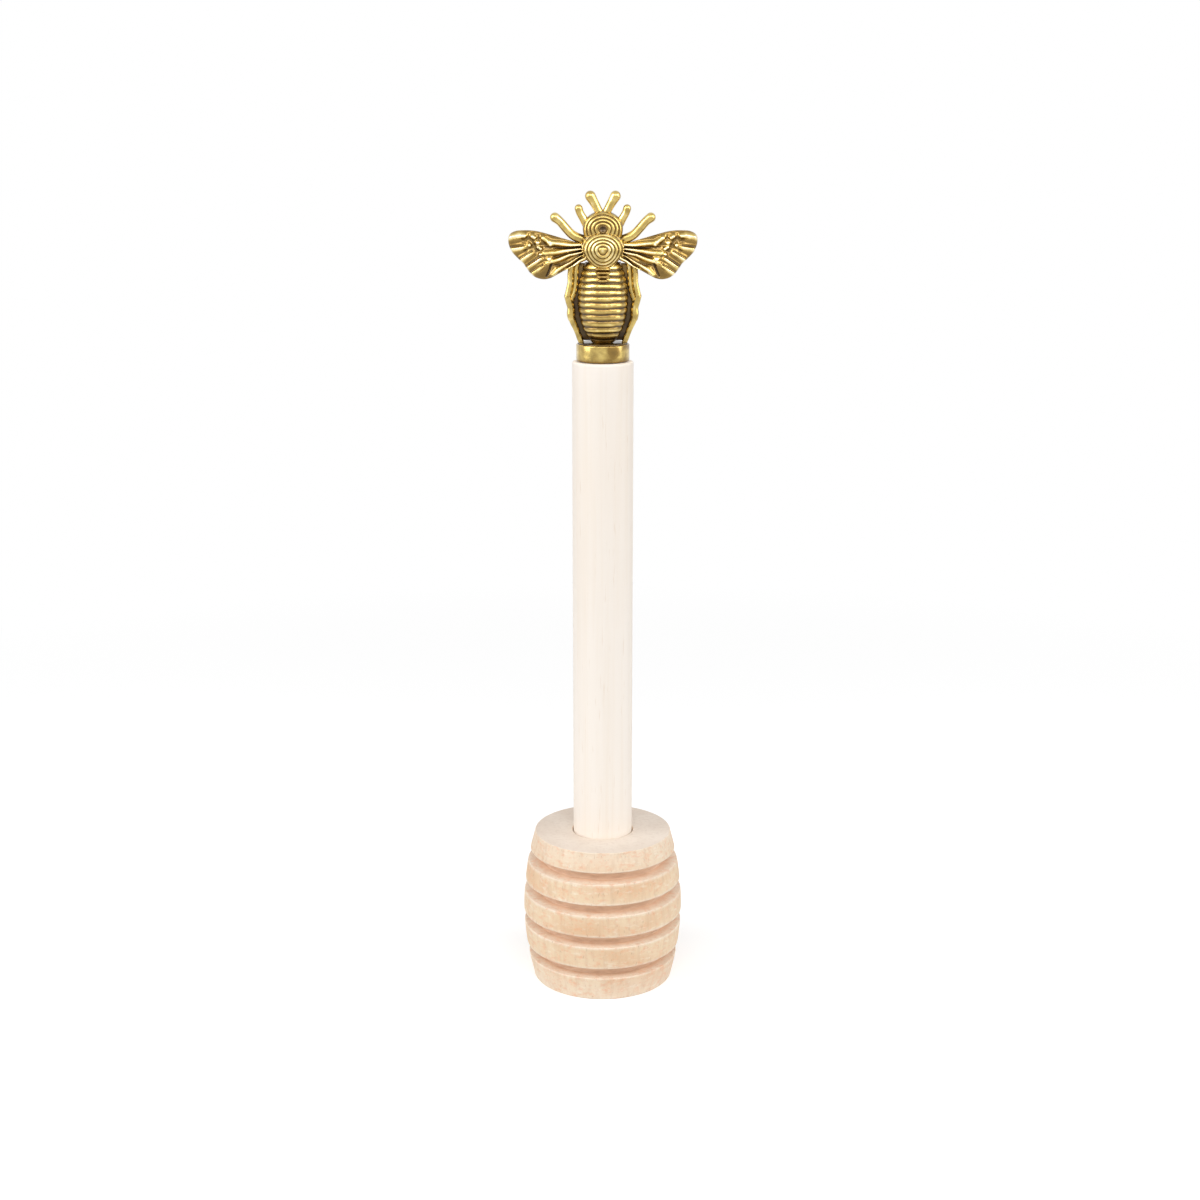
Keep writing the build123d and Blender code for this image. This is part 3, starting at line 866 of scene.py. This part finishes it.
class DIPPER_OT_head(bpy.types.Operator):
    """Turn the head with its grooves and its socket"""
    bl_idname = "dipper.head"
    bl_label = "Head"

    def execute(self, context):
        settings = context.scene.dipper_wood
        new_piece("turned_head", build_head(settings), head_wood(settings), "head_wood", "dipper_head")
        return {"FINISHED"}


class DIPPER_OT_handle(bpy.types.Operator):
    """Make the handle's dowel"""
    bl_idname = "dipper.handle"
    bl_label = "Handle"

    def execute(self, context):
        settings = context.scene.dipper_wood
        new_piece("handle", build_handle(), handle_wood(settings), "handle_wood", "handle_dowel")
        return {"FINISHED"}


class DIPPER_OT_collar(bpy.types.Operator):
    """Make the collar between the handle and the bee"""
    bl_idname = "dipper.collar"
    bl_label = "Collar"

    def execute(self, context):
        material = plated_gold(context.scene.dipper_metal, "brushed gold", darkening=0.8)
        new_piece("collar", build_collar(), material, "collar_metal", "bee_collar")
        return {"FINISHED"}


class DIPPER_OT_bee(bpy.types.Operator):
    """Cast the bee: body, wings, antennae and legs"""
    bl_idname = "dipper.bee"
    bl_label = "Bee"

    def execute(self, context):
        settings = context.scene.dipper_metal
        new_piece("bee", build_bee(settings), plated_gold(settings), "bee_metal", "bee_casting")
        return {"FINISHED"}


class DIPPER_OT_stud(bpy.types.Operator):
    """Finish the stud that is hidden inside"""
    bl_idname = "dipper.stud"
    bl_label = "Stud"

    def execute(self, context):
        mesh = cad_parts["threaded_stud"].data
        mesh.materials.clear()
        mesh.materials.append(stud_steel())
        return {"FINISHED"}


def area_light(name, place, width, height, watts):
    """Adds a rectangular lamp that faces the object, and returns it."""
    data = bpy.data.lights.new(name, "AREA")
    data.shape = "RECTANGLE"
    data.size, data.size_y, data.energy = width, height, watts
    lamp = bpy.data.objects.new(name, data)
    lamp.location = place
    lamp.rotation_euler = (Vector(lamp_target) - Vector(place)).to_track_quat("-Z", "Y").to_euler()
    bpy.context.scene.collection.objects.link(lamp)
    return lamp


def white_for_the_eye(tree, base_strength, white_strength):
    """Strength socket: white_strength for camera, mirror and glass rays, else base_strength."""
    path = tree.nodes.new("ShaderNodeLightPath")
    seen = path.outputs["Is Camera Ray"]
    for name in ("Is Glossy Ray", "Is Transmission Ray"):
        both = tree.nodes.new("ShaderNodeMath")
        both.operation = "MAXIMUM"
        tree.links.new(seen, both.inputs[0])
        tree.links.new(path.outputs[name], both.inputs[1])
        seen = both.outputs[0]
    span = tree.nodes.new("ShaderNodeMapRange")
    span.inputs["To Min"].default_value = base_strength
    span.inputs["To Max"].default_value = white_strength
    tree.links.new(seen, span.inputs["Value"])
    return span.outputs["Result"]


class DIPPER_OT_stage(bpy.types.Operator):
    """Set up the floor, the lamps, the white surroundings and the camera"""
    bl_idname = "dipper.stage"
    bl_label = "Stage"

    def execute(self, context):
        settings = context.scene.dipper_stage
        self.add_floor(context, settings)
        self.add_lamps()
        self.add_world(context)
        self.add_camera(context, settings)
        context.scene.view_settings.view_transform = "Standard"
        return {"FINISHED"}

    def add_floor(self, context, settings):
        """White floor: grey paint that takes shadows near the object turns into a white glow further out."""
        bm = bmesh.new()
        bmesh.ops.create_grid(bm, x_segments=1, y_segments=1, size=settings.floor_width / 2)
        mesh = bpy.data.meshes.new("floor")
        bm.to_mesh(mesh)
        bm.free()
        floor = bpy.data.objects.new("floor", mesh)
        context.scene.collection.objects.link(floor)
        material = bpy.data.materials.new("white paper")
        material.use_nodes = True
        tree = material.node_tree
        shader = tree.nodes["Principled BSDF"]
        shader.inputs["Roughness"].default_value = 0.9
        shader.inputs["Specular IOR Level"].default_value = 0.0
        shader.inputs["Emission Color"].default_value = (1, 1, 1, 1)
        place = tree.nodes.new("ShaderNodeTexCoord")
        length = tree.nodes.new("ShaderNodeVectorMath")
        length.operation = "LENGTH"
        tree.links.new(place.outputs["Object"], length.inputs[0])
        paint, glow = tree.nodes.new("ShaderNodeMapRange"), tree.nodes.new("ShaderNodeMapRange")
        for span, near, far in ((paint, floor_grey, 0.0), (glow, floor_glow, 1.0)):
            span.inputs["From Min"].default_value = settings.shadow_start
            span.inputs["From Max"].default_value = settings.shadow_end
            span.inputs["To Min"].default_value = near
            span.inputs["To Max"].default_value = far
            tree.links.new(length.outputs["Value"], span.inputs["Value"])
        tree.links.new(paint.outputs["Result"], shader.inputs["Base Color"])
        seen = white_for_the_eye(tree, 0.0, 1.0)
        strength = tree.nodes.new("ShaderNodeMath")
        strength.operation = "MULTIPLY"
        tree.links.new(seen, strength.inputs[0])
        tree.links.new(glow.outputs["Result"], strength.inputs[1])
        tree.links.new(strength.outputs[0], shader.inputs["Emission Strength"])
        mesh.materials.append(material)

    def add_lamps(self):
        for lamp in lamps:
            area_light(*lamp)
        for card in cards:
            area_light(*card).visible_diffuse = False

    def add_world(self, context):
        world = bpy.data.worlds.new("white studio")
        world.use_nodes = True
        tree = world.node_tree
        shade = tree.nodes["Background"]
        shade.inputs["Color"].default_value = (1, 1, 1, 1)
        tree.links.new(white_for_the_eye(tree, sky_light, 1.0), shade.inputs["Strength"])
        context.scene.world = world

    def add_camera(self, context, settings):
        data = bpy.data.cameras.new("camera")
        data.lens = settings.focal_length
        data.sensor_width = 36.0
        data.clip_start = 0.01
        camera = bpy.data.objects.new("camera", data)
        camera.location = (-settings.camera_side, -settings.camera_distance, settings.camera_height)
        camera.rotation_euler = (math.pi / 2 - settings.camera_pitch, 0, 0)
        context.scene.collection.objects.link(camera)
        context.scene.camera = camera


OPERATORS = (DIPPER_OT_head, DIPPER_OT_handle, DIPPER_OT_collar, DIPPER_OT_bee, DIPPER_OT_stud,
             DIPPER_OT_stage)


class DIPPER_PT_build(bpy.types.Panel):
    """Buttons that build the honey dipper"""
    bl_idname = "DIPPER_PT_build"
    bl_label = "Honey dipper"
    bl_space_type = "VIEW_3D"
    bl_region_type = "UI"
    bl_category = "Dipper"

    def draw(self, context):
        for operator in OPERATORS:
            self.layout.operator(operator.bl_idname)
        for group in (context.scene.dipper_wood, context.scene.dipper_metal, context.scene.dipper_stage):
            for name in group.__annotations__:
                self.layout.prop(group, name)


SETTINGS = {"dipper_wood": WoodSettings, "dipper_metal": MetalSettings, "dipper_stage": StageSettings}
CLASSES = (*SETTINGS.values(), *OPERATORS, DIPPER_PT_build)


def register():
    for cls in CLASSES:
        bpy.utils.register_class(cls)
    for name, cls in SETTINGS.items():
        setattr(bpy.types.Scene, name, PointerProperty(type=cls))


def unregister():
    for name in SETTINGS:
        delattr(bpy.types.Scene, name)
    for cls in reversed(CLASSES):
        bpy.utils.unregister_class(cls)


def main():
    register()
    bpy.ops.dipper.head()
    bpy.ops.dipper.handle()
    bpy.ops.dipper.collar()
    bpy.ops.dipper.bee()
    bpy.ops.dipper.stud()
    bpy.ops.dipper.stage()


if __name__ == "__main__":
    main()
